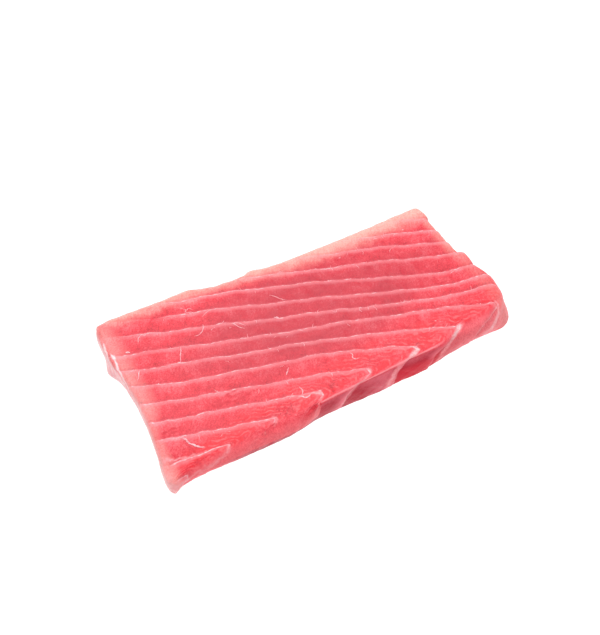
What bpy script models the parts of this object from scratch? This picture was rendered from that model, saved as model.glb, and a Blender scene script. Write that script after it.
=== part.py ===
"""Raw tuna block: one slab of red muscle, sliced so that its muscle segments show as slanting bands.

The slab is drawn in millimetres: X along it, Y across it towards the back, Z up from its flat underside.
Pale walls of connective tissue, the septa, part the bands. Each band overlaps the one behind it like a
shingle. Near the front edge every septum turns back sharply, runs along the rim and drops down the side.
"""

import bmesh
import bpy
import numpy as np
from mathutils import Vector
from mathutils.geometry import delaunay_2d_cdt

MM = 0.001
NAME = "tuna_block"

# Overall form, in mm
THICKNESS = 18.0
CENTRE = (-1.22, -1.50)     # the middle of the drawing's box, which becomes the origin
OUTLINE_STEP = 2.7         # spacing of the side's columns
STATION_STEP = 4.6         # spacing of the points along a band
RIM_CLEARANCE = 1.7        # the top's inner points stay this far inside its rim

# The outline where the slab is widest, clockwise from the back left corner. Each point has its X and Y,
# the radius of the rim above it, and how far the underside is drawn in below it, all in mm.
BACK_EDGE = (
    (-100.2, 47.6, 3.6, 2.0), (-94.0, 52.0, 5.0, 1.5), (-60.0, 51.7, 6.5, 1.5), (-46.0, 51.2, 6.5, 1.5),
    (-33.0, 46.8, 6.5, 1.5), (-16.0, 45.6, 6.5, 1.5), (-10.0, 46.9, 6.5, 1.5), (2.0, 44.6, 6.5, 1.5),
    (30.0, 43.8, 6.5, 1.5), (60.0, 43.0, 6.5, 1.5), (88.0, 42.3, 5.0, 1.5),
)
RIGHT_END = (
    (95.0, 40.0, 3.0, 1.2), (96.8, 31.4, 2.2, 1.2), (95.1, 27.8, 2.2, 1.2), (95.7, 12.0, 2.2, 1.2),
    (96.1, 1.6, 2.2, 1.2), (99.0, -1.6, 2.2, 1.2), (99.1, -9.5, 2.2, 1.2), (98.6, -12.6, 2.2, 1.0),
    (101.2, -20.4, 3.0, 0.5), (102.0, -27.4, 4.5, -0.8), (100.8, -36.2, 6.5, -3.8),
)
FRONT_EDGE = (
    (95.8, -43.0, 7.5, -3.2), (87.0, -48.0, 8.0, 2.2), (79.0, -49.6, 8.0, 4.2), (70.0, -49.2, 7.5, 3.2),
    (62.0, -49.4, 5.5, 2.6), (53.0, -50.8, 2.5, 2.6), (42.0, -50.4, 1.4, 0.8), (28.0, -50.2, 1.4, 0.6),
    (10.0, -50.8, 1.4, 1.2), (-10.0, -51.2, 1.4, 2.4), (-21.0, -52.0, 1.6, 3.2), (-29.0, -54.2, 4.0, 4.6),
    (-40.0, -55.4, 6.5, 6.4), (-60.0, -55.2, 7.2, 6.4), (-80.0, -54.4, 7.0, 7.0), (-97.0, -54.1, 5.0, 5.2),
)
LEFT_END = (
    (-104.3, -55.1, 3.6, 2.4), (-107.0, -51.9, 3.2, 2.2), (-106.5, -44.0, 3.2, 2.8),
    (-104.5, -34.0, 3.2, 3.0), (-102.0, -18.0, 3.2, 3.0), (-100.8, -2.0, 3.2, 3.0),
    (-101.0, 12.0, 3.0, 3.0), (-102.0, 24.0, 2.6, 3.0), (-101.8, 38.0, 2.8, 3.0),
)
SIDE_BULGE = 0.7
FOOT_CHAMFER = 0.8

# The thin belly edge at the front left
BELLY_DROOP = 2.5
BELLY_REACH = 21.0         # how far in from the front edge the droop fades
BELLY_END_X = -26.0        # where the drooping lobe ends
BELLY_FADE = 9.0
CORNER_DROOP = 2.5         # the front left corner hangs lower still
CORNER = (-106.0, -56.0)
CORNER_REACH = 22.0

# Where the septa cross five stations along the slab: the station's X, its first septum, their Y
STATIONS = (
    (-100.0, 7, (40.5, 26.6, 15.6, 4.3, -8.6, -21.2, -32.8, -46.0)),
    (-50.0, 5, (42.5, 32.3, 21.2, 9.2, -1.2, -12.6, -24.4, -35.4, -46.5)),
    (0.0, 4, (35.0, 25.8, 13.4, 2.3, -7.9, -17.8, -27.6, -40.7)),
    (50.0, 2, (37.0, 27.4, 16.2, 3.6, -7.6, -16.5, -24.4, -36.8)),
    (95.0, 1, (30.0, 20.2, 9.8, -0.3, -11.2, -20.9, -28.7, -42.0)),
)
SEPTA = 17
PITCH = 10.8               # the spacing across the slab of the septa beyond those listed
LEAN_X = (-60.0, 60.0)
SEPTUM_LEAN = (-0.35, 0.45)    # at those X: how far a septum slants to the front for each mm down an end

# The fold near the front edge where each septum turns back
FOLD_Y = -44.3
FOLD_LEFT_BEND = 0.0014
FOLD_RIGHT_BEND = 0.0016
FOLD_RIGHT_X = 50.0
TIP_X = (12.0, 38.0, 64.0, 92.0)
TIP_SHIFT = (0.0, 4.0, 3.7, 1.4)   # how far short of its curve a septum ends at each of these X
TIP_BEND = (-8.0, -0.5)            # where it bends to that, as distance past the fold
HOOK_PAST = (0.0, 3.2, 4.2, 6.4, 7.3, 10.4, 13.5, 24.0)    # distance past the fold
HOOK_SHIFT = (0.0, 0.0, 2.5, 6.5, 9.5, 14.0, 16.5, 19.0)   # how far a septum has run back by then
RIGHT_PAST = (0.0, 5.0, 8.6, 12.0, 15.0, 18.0, 24.0)       # the same where the right end rolls over
RIGHT_SHIFT = (0.0, 0.0, 4.8, 9.0, 12.5, 15.5, 19.0)
RIGHT_ROLL = (45.0, 62.0)

# Relief of the bands
SHINGLE = 0.75             # step at a septum on the top face
SIDE_SHINGLE = 1.5         # step at a septum on the front side
BACK_FADE_Y = (18.0, 46.0) # over which the steps soften towards the back edge
LEFT_FADE_X = (-104.0, -88.0)   # and towards the left end
LEFT_FADE_BACK = (-80.0, -40.0)    # left of this they are all but gone at the back
SIDE_STEP_X = (-6.0, 18.0)      # over which the steps on the front side grow
SIDE_FADE_DOWN = (7.0, 16.0)    # and how far down the side they soften again
RISER = 0.07               # the share of a band that its step takes
BAND_ROWS = (0.0, 0.08, 0.36, 0.70, 0.94)
FOLD_ROWS = (1.4, 3.0)     # rows of points in front of the fold, in mm from it
FOLD_GAP = 0.9             # the bands' rows stop this short of the fold

# A loose fold of membrane low on the left end
MEMBRANE_OUT = 3.0
MEMBRANE_AT = (27.0, 5.0)  # its Y and Z
MEMBRANE_SIZE = (6.0, 4.0)

FLESH_COLOUR = (0.84, 0.13, 0.15, 1.0)
FLESH_ROUGHNESS = 0.42


def smoothstep(low, high, value):
    """0 below low, 1 above high, and a smooth rise between."""
    t = np.clip((value - low) / (high - low), 0.0, 1.0)
    return t * t * (3.0 - 2.0 * t)


def resample(loop, step):
    """The closed loop's points again, evenly spaced about step apart, with all that each carries."""
    closed = np.vstack([loop, loop[:1]])
    lengths = np.linalg.norm(np.diff(closed[:, :2], axis=0), axis=1)
    along = np.concatenate([[0.0], np.cumsum(lengths)])
    count = int(round(along[-1] / step))
    at = np.arange(count) * along[-1] / count
    return np.column_stack([np.interp(at, along, column) for column in closed.T])


def smooth_outline(step):
    """The slab's outline as a closed spline through its named points: X, Y, rim radius and draw."""
    knots = np.array(BACK_EDGE + RIGHT_END + FRONT_EDGE + LEFT_END)
    before, after, beyond = (np.roll(knots, shift, axis=0) for shift in (1, -1, -2))
    t = np.linspace(0.0, 1.0, 24, endpoint=False)[:, None, None]
    spline = 0.5 * (
        2.0 * knots
        + (after - before) * t
        + (2.0 * before - 5.0 * knots + 4.0 * after - beyond) * t**2
        + (3.0 * knots - before - 3.0 * after + beyond) * t**3
    )
    return resample(spline.transpose(1, 0, 2).reshape(-1, knots.shape[1]), step)


def outward_normals(loop, step, spread=7.0):
    """Unit normals that point out of a clockwise loop, smoothed over spread so that rings don't cross."""
    reach = max(1, int(round(spread / step)))
    ahead = sum(np.roll(loop, -k, axis=0) for k in range(1, reach + 1))
    behind = sum(np.roll(loop, k, axis=0) for k in range(1, reach + 1))
    along = ahead - behind
    normals = np.column_stack([-along[:, 1], along[:, 0]])
    return normals / np.linalg.norm(normals, axis=1, keepdims=True)


def septum_curves():
    """Polynomials in X for the Y of every septum, filled out by the pitch where a station lists none."""
    heights = np.empty((len(STATIONS), SEPTA))
    for row, (_, first, listed) in enumerate(STATIONS):
        last = first + len(listed) - 1
        for number in range(SEPTA):
            known = min(max(number, first), last)
            heights[row, number] = listed[known - first] - PITCH * (number - known)
    stations = [station[0] for station in STATIONS]
    return np.polyfit(stations, heights, len(STATIONS) - 1)


CURVES = septum_curves()


def septum_heights(x):
    """The Y of every septum at each x: one row for each septum, back to front."""
    return sum(np.outer(c, x**power) for power, c in zip(range(len(CURVES) - 1, -1, -1), CURVES))


def fold_line(x):
    """The Y of the fold at x."""
    left = FOLD_LEFT_BEND * np.minimum(x, 0.0) ** 2
    right = FOLD_RIGHT_BEND * np.maximum(x - FOLD_RIGHT_X, 0.0) ** 2
    return FOLD_Y - left + right


def band_number(x, y, down, front):
    """Which band a surface point is in, with the share of the way across it as the fraction.

    down is how far the point lies below the rim along the surface, and front how squarely it faces front.
    """
    lean = np.interp(x, LEAN_X, SEPTUM_LEAN)
    level = y - front * down + (1.0 - front) * lean * down
    past = fold_line(x) - level
    across = x + np.interp(x, TIP_X, TIP_SHIFT) * smoothstep(*TIP_BEND, past)
    hooked = np.interp(past, HOOK_PAST, HOOK_SHIFT)
    across += hooked + (np.interp(past, RIGHT_PAST, RIGHT_SHIFT) - hooked) * smoothstep(*RIGHT_ROLL, x)
    level = np.where(past > 0.0, fold_line(across), level)
    heights = septum_heights(across)
    band = np.clip((heights > level).sum(axis=0), 1, SEPTA - 1)
    column = np.arange(len(x))
    upper, lower = heights[band - 1, column], heights[band, column]
    return band + np.clip((upper - level) / (upper - lower), 0.0, 0.999)


def shingle_height(share):
    """A band's height from 0 to 1: a steep rise at its septum, then a rounded fall to the next."""
    rise = smoothstep(0.0, RISER, share)
    return rise * (1.0 - share**1.4)


def relief(x, y, down, front):
    """How far the bands stand out of the plain surface."""
    share = band_number(x, y, down, front) % 1.0
    back = smoothstep(*BACK_FADE_Y, y) * (0.92 - 0.27 * smoothstep(*LEFT_FADE_BACK, x))
    soft = (1.0 - back) * (0.2 + 0.8 * smoothstep(*LEFT_FADE_X, x))
    side_step = SIDE_SHINGLE * (0.25 + 0.75 * smoothstep(*SIDE_STEP_X, x))
    side_step *= 1.0 - 0.6 * smoothstep(*SIDE_FADE_DOWN, down)
    side = front * smoothstep(0.0, 4.0, down)
    step = SHINGLE * soft * (1.0 - side) + side_step * side
    return step * (shingle_height(share) - 0.6)


def top_height(x, y):
    """The plain top face: nearly flat, gently uneven, and drooping along the belly edge."""
    uneven = 0.45 * np.sin(x / 31.0 + 0.8) * np.cos(y / 23.0) + 0.3 * np.sin(x / 17.0 - y / 12.0)
    front_y = np.interp(x, *np.array(FRONT_EDGE[::-1]).T[:2])
    lobe = smoothstep(BELLY_END_X, BELLY_END_X - BELLY_FADE, x)
    droop = BELLY_DROOP * lobe * (1.0 - smoothstep(0.0, BELLY_REACH, y - front_y)) ** 1.5
    from_corner = np.hypot(x - CORNER[0], y - CORNER[1])
    corner = CORNER_DROOP * (1.0 - smoothstep(0.0, CORNER_REACH, from_corner))
    return THICKNESS + uneven - droop - corner


def side_rings():
    """Rings of points from the top's edge down to the underside, with their outward normals and depths."""
    outline, radius, draw = np.split(smooth_outline(OUTLINE_STEP), (2, 3), axis=1)
    radius, draw = radius[:, 0], draw[:, 0]
    normals = outward_normals(outline, OUTLINE_STEP)
    front = np.maximum(-normals[:, 1], 0.0) ** 2
    inner = outline - normals * radius[:, None]
    top = top_height(*inner.T)
    rings = []
    for turn in np.radians((0.0, 30.0, 60.0, 90.0)):
        flat = inner + normals * (radius * np.sin(turn))[:, None]
        height = top - radius * (1.0 - np.cos(turn))
        facing = np.column_stack([normals * np.sin(turn), np.full(len(flat), np.cos(turn))])
        rings.append((flat, height, facing, radius * turn))
    shoulder = top - radius
    facing = np.column_stack([normals, np.zeros(len(outline))])
    for share in (0.33, 0.66, 1.0):
        height = FOOT_CHAMFER + (shoulder - FOOT_CHAMFER) * (1.0 - share)
        out = SIDE_BULGE * np.sin(np.pi * share) - draw * share**1.4
        loose = np.exp(
            -(((outline[:, 1] - MEMBRANE_AT[0]) / MEMBRANE_SIZE[0]) ** 2)
            - ((height - MEMBRANE_AT[1]) / MEMBRANE_SIZE[1]) ** 2
        )
        out = out + MEMBRANE_OUT * loose * np.maximum(-normals[:, 0], 0.0) ** 4
        flat = outline + normals * out[:, None]
        rings.append((flat, height, facing, radius * np.pi / 2.0 + shoulder - height))
    return [
        np.column_stack([flat, height]) + facing * relief(*flat.T, down, front)[:, None]
        for flat, height, facing, down in rings
    ]


def foot_ring(lowest):
    """The underside's edge, a chamfer in from the lowest ring of the side."""
    flat = lowest[:, :2]
    foot = flat - outward_normals(flat, OUTLINE_STEP) * FOOT_CHAMFER
    return np.column_stack([foot, np.zeros(len(foot))])


def inside(points, loop):
    """Which points lie inside the loop and RIM_CLEARANCE or more from its corners."""
    ahead = np.roll(loop, -1, axis=0)
    within = np.zeros(len(points), bool)
    for (ax, ay), (bx, by) in zip(loop, ahead):
        crosses = (ay > points[:, 1]) != (by > points[:, 1])
        if ay != by:
            edge_x = ax + (points[:, 1] - ay) * (bx - ax) / (by - ay)
            within ^= crosses & (points[:, 0] < edge_x)
    gap = np.linalg.norm(points[:, None, :] - loop[None, :, :], axis=2).min(axis=1)
    return within & (gap > RIM_CLEARANCE)


def top_rows():
    """Rows of points on the top face: along the bands behind the fold, and along the fold before it."""
    x = np.arange(-110.0, 106.0, STATION_STEP)
    heights = septum_heights(x)
    rows = []
    for band in range(SEPTA - 1):
        for share in BAND_ROWS:
            y = heights[band] + share * (heights[band + 1] - heights[band])
            behind = y > fold_line(x) + FOLD_GAP
            rows.append(np.column_stack([x, y])[behind])
    close = np.arange(-110.0, 106.0, OUTLINE_STEP)
    rows += [np.column_stack([close, fold_line(close) - gap]) for gap in FOLD_ROWS]
    return [row for row in rows if len(row)]


def top_sheet(rim):
    """The top face between the rim's points: its inner points, and triangles that follow the bands."""
    points, edges = list(rim), [(k, (k + 1) % len(rim)) for k in range(len(rim))]
    for row in top_rows():
        kept = inside(row, rim)
        previous = None
        for point, keep in zip(row, kept):
            if keep and previous is not None:
                edges.append((previous, len(points)))
            previous = len(points) if keep else None
            if keep:
                points.append(point)
    flat = [Vector(point) for point in points]
    corners, _, faces, sources, _, _ = delaunay_2d_cdt(flat, edges, [], 1, 1e-5)
    inner, numbers = [], []
    for corner, source in zip(corners, sources):
        on_rim = source and min(source) < len(rim)
        numbers.append(min(source) if on_rim else len(rim) + len(inner))
        if not on_rim:
            inner.append(tuple(corner))
    x, y = np.array(inner).T
    level = np.zeros(len(x))
    height = top_height(x, y) + relief(x, y, level, level)
    return np.column_stack([x, y, height]), [[numbers[corner] for corner in face] for face in faces]


def block_mesh():
    """The whole slab as one closed mesh: the top sheet, the side of rings, and a flat underside."""
    rings = side_rings()
    rings.append(foot_ring(rings[-1]))
    inner, top = top_sheet(rings[0][:, :2])
    count = len(rings[0])
    points = np.vstack([rings[0], inner, *rings[1:]])
    starts = [0] + [count + len(inner) + count * k for k in range(len(rings) - 1)]
    faces = [list(face) for face in top]
    for upper, lower in zip(starts, starts[1:]):
        for k in range(count):
            after = (k + 1) % count
            faces.append([upper + k, upper + after, lower + after, lower + k])
    faces.append([starts[-1] + k for k in range(count)])
    points[:, :2] -= CENTRE
    mesh = bpy.data.meshes.new(NAME)
    mesh.from_pydata((points * MM).tolist(), [], faces)
    solid = bmesh.new()
    solid.from_mesh(mesh)
    bmesh.ops.recalc_face_normals(solid, faces=solid.faces)
    solid.to_mesh(mesh)
    solid.free()
    mesh.shade_smooth()
    mesh.set_sharp_from_angle(angle=np.radians(50.0))
    return mesh


def flesh_material():
    """Raw red muscle: moist, pink red and slightly glossy."""
    material = bpy.data.materials.new("flesh")
    material.use_nodes = True
    shader = material.node_tree.nodes["Principled BSDF"]
    shader.inputs["Base Color"].default_value = FLESH_COLOUR
    shader.inputs["Roughness"].default_value = FLESH_ROUGHNESS
    shader.inputs["Metallic"].default_value = 0.0
    return material


def main():
    for old in list(bpy.data.objects):
        bpy.data.objects.remove(old)
    collection = bpy.data.collections.new("raw_tuna_block")
    bpy.context.scene.collection.children.link(collection)
    block = bpy.data.objects.new(NAME, block_mesh())
    block.data.materials.append(flesh_material())
    collection.objects.link(block)


main()
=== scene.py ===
"""Looks of the raw tuna block: banded, moist red flesh with pale septa, white threads and loose membranes.

Shapes are drawn in millimetres: X along the block, Y across it towards the back, Z up from its underside.
"""

import bmesh
import bpy
import numpy as np
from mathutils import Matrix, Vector
from mathutils.geometry import delaunay_2d_cdt


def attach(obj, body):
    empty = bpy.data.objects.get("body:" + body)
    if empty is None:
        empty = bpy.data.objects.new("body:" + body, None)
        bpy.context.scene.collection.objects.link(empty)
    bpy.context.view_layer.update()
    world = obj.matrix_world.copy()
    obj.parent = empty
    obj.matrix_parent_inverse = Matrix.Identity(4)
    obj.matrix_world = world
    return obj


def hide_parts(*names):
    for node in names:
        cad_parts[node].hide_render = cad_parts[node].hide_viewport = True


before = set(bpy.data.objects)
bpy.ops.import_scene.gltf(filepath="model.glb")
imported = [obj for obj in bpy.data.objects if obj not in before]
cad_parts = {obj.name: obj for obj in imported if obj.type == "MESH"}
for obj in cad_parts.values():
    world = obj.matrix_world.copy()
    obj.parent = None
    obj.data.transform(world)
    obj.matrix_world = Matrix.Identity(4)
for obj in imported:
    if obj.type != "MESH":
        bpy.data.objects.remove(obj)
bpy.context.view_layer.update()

MM = 0.001
SEED = 11
rng = np.random.default_rng(SEED)

# Overall form, in mm
THICKNESS = 18.0
CENTRE = (-1.22, -1.50)  # the middle of the drawing's box, which is the origin
OUTLINE_STEP = 0.65  # spacing of the side's columns
STATION_STEP = 0.8  # spacing of the points along a band
RIM_CLEARANCE = 0.45  # the top's inner points stay this far inside its rim

# The outline where the block is widest, clockwise from the back left corner. Each point has its X and Y,
# the radius of the rim above it, and how far the underside is drawn in below it, all in mm.
BACK_EDGE = (
    (-100.2, 47.6, 3.6, 2), (-94, 52, 5, 1.5), (-60, 51.7, 6.5, 1.5), (-46, 51.2, 6.5, 1.5),
    (-33, 46.8, 6.5, 1.5), (-16, 45.6, 6.5, 1.5), (-10, 46.9, 6.5, 1.5), (2, 44.6, 6.5, 1.5),
    (30, 43.8, 6.5, 1.5), (60, 43, 6.5, 1.5), (88, 42.3, 5, 1.5),
)
RIGHT_END = (
    (95, 40, 3, 1.2), (96.8, 31.4, 2.2, 1.2), (95.1, 27.8, 2.2, 1.2), (95.7, 12, 2.2, 1.2),
    (96.1, 1.6, 2.2, 1.2), (99, -1.6, 2.2, 1.2), (99.1, -9.5, 2.2, 1.2), (98.6, -12.6, 2.2, 1),
    (101.2, -20.4, 3, 0.5), (102, -27.4, 4.5, -0.8), (100.8, -36.2, 6.5, -3.8),
)
FRONT_EDGE = (
    (95.8, -43, 7.5, -3.2), (87, -48, 8, 2.2), (79, -49.6, 8, 4.2), (70, -49.2, 7.5, 3.2),
    (62, -49.4, 5.5, 2.6), (53, -50.8, 2.5, 2.6), (42, -50.4, 1.4, 0.8), (28, -50.2, 1.4, 0.6),
    (10, -50.8, 1.4, 1.2), (-10, -51.2, 1.4, 2.4), (-21, -52, 1.6, 3.2), (-29, -54.2, 4, 4.6),
    (-40, -55.4, 6.5, 6.4), (-60, -55.2, 7.2, 6.4), (-80, -54.4, 7, 7), (-97, -54.1, 5, 5.2),
)
LEFT_END = (
    (-104.3, -55.1, 3.6, 2.4), (-107, -51.9, 3.2, 2.2), (-106.5, -44, 3.2, 2.8),
    (-104.5, -34, 3.2, 3), (-102, -18, 3.2, 3), (-100.8, -2, 3.2, 3),
    (-101, 12, 3, 3), (-102, 24, 2.6, 3), (-101.8, 38, 2.8, 3),
)
SIDE_BULGE = 0.7
DRAW_CURVE = 1.4  # how late on its way down the side is drawn in
FOOT_CHAMFER = 0.8
RIM_TURNS = 9  # rings round the rim
SIDE_LEVELS = 20  # rings down the side

# The thin belly edge at the front left
BELLY_DROOP = 2.5
BELLY_REACH = 21.0  # how far in from the front edge the droop fades
BELLY_END_X = -26.0  # where the drooping lobe ends
BELLY_FADE = 9.0
BELLY_CURVE = 1.5
CORNER_DROOP = 2.5  # the front left corner hangs lower still
CORNER = (-106, -56)
CORNER_REACH = 22.0

# The top's long swell and its shorter one: height, and how gently each rises along X and along Y
SWELL = (0.45, 31, 23)
SWELL_START = 0.8
SHORT_SWELL = (0.3, 17, 12)

# Where the septa cross five stations along the block: the station's X, its first septum, their Y
STATIONS = (
    (-100, 7, (40.5, 26.6, 15.6, 4.3, -8.6, -21.2, -32.8, -46)),
    (-50, 5, (42.5, 32.3, 21.2, 9.2, -1.2, -12.6, -24.4, -35.4, -46.5)),
    (0, 4, (35, 25.8, 13.4, 2.3, -7.9, -17.8, -27.6, -40.7)),
    (50, 2, (37, 27.4, 16.2, 3.6, -7.6, -16.5, -24.4, -36.8)),
    (95, 1, (30, 20.2, 9.8, -0.3, -11.2, -20.9, -28.7, -42)),
)
SEPTA = 17
PITCH = 10.8  # the spacing across the block of the septa beyond those listed
LEAN_X = (-60, 60)
SEPTUM_LEAN = (-0.35, 0.45)  # at those X: how far a septum slants to the front for each mm down an end
WAVES = ((46, 0.32), (19, 0.24), (8.3, 0.10), (3.9, 0.05))  # length and height of a septum's waves

# The fold near the front edge where each septum turns back
FOLD_Y = -44.3
FOLD_LEFT_BEND = 0.0014
FOLD_RIGHT_BEND = 0.0016
FOLD_RIGHT_X = 50.0
TIP_X = (12, 38, 64, 92)
TIP_SHIFT = (0, 4, 3.7, 1.4)  # how far short of its curve a septum ends at each of these X
TIP_BEND = (-8, -0.5)  # where it bends to that, as distance past the fold
HOOK_PAST = (0, 3.2, 4.2, 6.4, 7.3, 10.4, 13.5, 24)  # distance past the fold
HOOK_SHIFT = (0, 0, 2.5, 6.5, 9.5, 14, 16.5, 19)  # how far a septum has run back by then
RIGHT_PAST = (0, 5, 8.6, 12, 15, 18, 24)  # the same where the right end rolls over
RIGHT_SHIFT = (0, 0, 4.8, 9, 12.5, 15.5, 19)
RIGHT_ROLL = (45, 62)

# Relief of the bands
SHINGLE = 0.75  # step at a septum on the top face
SHINGLE_CURVE = 1.4
STEP_SUNK = 0.6  # the share of a step that lies below the plain surface
SIDE_SHINGLE = 1.5  # step at a septum on the front side
BACK_FADE_Y = (18, 46)  # over which the steps soften towards the back edge
BACK_LOSS = 0.92  # how much of them is gone there at the left
BACK_GAIN = 0.27  # and how much less is gone at the right
BACK_GAIN_X = (-80, -40)
LEFT_FADE_X = (-104, -88)  # over which they soften towards the left end
LEFT_KEPT = 0.2  # how much of them is left there
SIDE_STEP_X = (-6, 18)  # over which the steps on the front side grow
SIDE_STEP_KEPT = 0.25  # from this share
SIDE_FADE_DOWN = (7, 16)  # how far down the side they soften again
SIDE_LOSS = 0.6
RIM_DOWN = 4.0  # how far down the front the side's steps have taken over
END_DOWN = 5.0  # and how far down the ends and the back END_LOSS of the steps has gone
END_LOSS = 0.6
RISER = 0.05  # the share of a band that its step takes
BAND_ROWS = (0, 0.018, 0.036, 0.06, 0.1, 0.15, *np.arange(0.21, 0.92, 0.07), 0.965)
FOLD_STEP = 0.65  # spacing of the rows of points in front of the fold
FOLD_DEEP = 14.0
UNDER_STEP = 2.0  # spacing of the points on the underside
FOLD_GAP = 0.3  # the bands' rows stop this short of the fold
ROWS_X = (-110, 106)  # all rows of points lie within these
ROWS_Y = (-60, 58)

# Small unevenness of the cut surface: wave length and height
UNEVEN = ((9, 0.048), (4.2, 0.021), (2.1, 0.0108))
UNEVEN_CROSSING = 5  # waves of each length, each at its own turn
UNEVEN_DOWN = (0.8, 0.7)  # how they run on down the sides

# Strands of connective tissue in the surface, through places laid flat with the top: X, Y, the width in mm
# and the whiteness. First the hooks of the septa, then the left end, then the front left corner and lobe.
STRANDS = (
    ((-77, -50.9, 0.8, 0.35), (-74.4, -51.9, 1.2, 0.5), (-72.8, -54.4, 1.8, 0.5), (-74.4, -57.4, 2.4, 0.5),
     (-78.4, -60.2, 3.2, 0.5), (-84.2, -62, 3.2, 0.5), (-90.6, -62.6, 2.4, 0.4)),
    ((-48, -46.8, 1, 0.4), (-45.6, -47.2, 1.4, 0.5), (-45.6, -50.4, 1.4, 0.45), (-49.4, -54.4, 1.3, 0.4),
     (-54.6, -56.8, 1.2, 0.45), (-60, -58.8, 1.2, 0.3)),
    ((-23.5, -45, 1, 0.4), (-20.8, -45.2, 1.5, 0.55), (-19.2, -46, 1.8, 0.6), (-19.2, -47.6, 1.8, 0.5),
     (-20.8, -49.6, 1.6, 0.4), (-22.6, -52.4, 1.5, 0.4), (-23.6, -56, 1.4, 0.4), (-24.6, -60, 1.4, 0.3)),
    ((7.5, -43.6, 0.8, 0.4), (9.6, -44.2, 1.2, 0.6), (10.3, -46, 1.3, 0.5), (8.8, -48.8, 1, 0.35),
     (3, -51, 0.8, 0.25), (-2.2, -54, 2.2, 0.4), (-5.5, -57.6, 2.6, 0.4), (-9.5, -64, 2.6, 0.3)),
    ((35, -43.2, 0.8, 0.5), (37.6, -44.4, 1.4, 0.8), (38.4, -46.4, 2.4, 0.8), (35.4, -48.4, 2.4, 0.7),
     (31.4, -50.2, 2.2, 0.5), (26, -51.4, 1.8, 0.4), (22.8, -54.4, 2.4, 0.55), (21.2, -58.5, 3.2, 0.55),
     (19.6, -64.5, 4.4, 0.5)),
    ((60.5, -43.4, 0.8, 0.4), (64.4, -44.6, 1.6, 0.6), (67.2, -46.4, 4, 0.75), (64.6, -49.4, 4.8, 0.75),
     (60.4, -52.8, 4.4, 0.65), (56.8, -56.6, 3.6, 0.5), (53.4, -60.5, 4, 0.45), (51.4, -65, 4, 0.4)),
    ((80, -36.2, 1, 0.45), (83, -37, 0.9, 0.4)),
    ((89, -40.4, 1, 0.4), (94.4, -41.4, 1.6, 0.5), (97, -45.2, 2.4, 0.55), (96.6, -51.8, 3.6, 0.6),
     (94, -57, 4.4, 0.6), (90, -61.4, 4.6, 0.6), (83.6, -64.2, 4, 0.5), (75.7, -66, 3, 0.35)),
    ((-102, 38.4, 1.4, 0.5), (-103, 35.2, 2.6, 1), (-104.6, 31, 2.8, 1), (-107, 27.2, 2.4, 1),
     (-110.6, 24.2, 2, 0.9), (-113, 20.4, 1.6, 0.6)),
    ((-101, 28.4, 1.8, 0.7), (-100.2, 26.6, 2.8, 1), (-99.8, 24.2, 1.8, 0.9), (-101.8, 20.6, 2.2, 1),
     (-103.2, 17, 2.4, 1), (-104.2, 12.4, 2, 1), (-106, 6.6, 1.8, 0.9), (-107, 1.4, 1.4, 0.5)),
    ((-105.4, 19.6, 1.2, 0.5), (-106.2, 15.4, 1.6, 0.9), (-107.4, 10.4, 1.4, 0.9), (-108.6, 4.6, 1.2, 0.5)),
    ((-108.4, 34.8, 2, 0.8), (-110.4, 31, 2.4, 0.9), (-112.8, 27.4, 2.4, 0.9), (-114.6, 23, 2, 0.7)),
    ((-108.6, 23.4, 1.4, 0.6), (-110.4, 19.6, 1.8, 0.9), (-111.6, 15.4, 1.6, 0.7)),
    ((-106, -42.4, 2.8, 0.45), (-103, -42.9, 2.2, 0.6), (-98.5, -44.8, 1.3, 0.6),
     (-95.3, -45.6, 1.2, 0.55), (-91.2, -46.6, 1.1, 0.5), (-84, -48.3, 0.9, 0.4)),
    ((-99.8, -33, 1.4, 0.35), (-97, -33.9, 1.8, 0.4), (-94.3, -34.9, 2, 0.5), (-91.6, -35.6, 1.8, 0.5)),
    ((-110, -59.3, 2.4, 0.5), (-102.5, -61.2, 2.4, 0.55), (-97.1, -62, 2, 0.55),
     (-92.5, -61.2, 1.6, 0.5), (-88, -59.4, 1.2, 0.4)),
    ((-88, -66.5, 1, 0.2), (-72, -66.5, 1, 0.35), (-56, -66.5, 1, 0.35),
     (-40, -65, 1, 0.3)),
)
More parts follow.
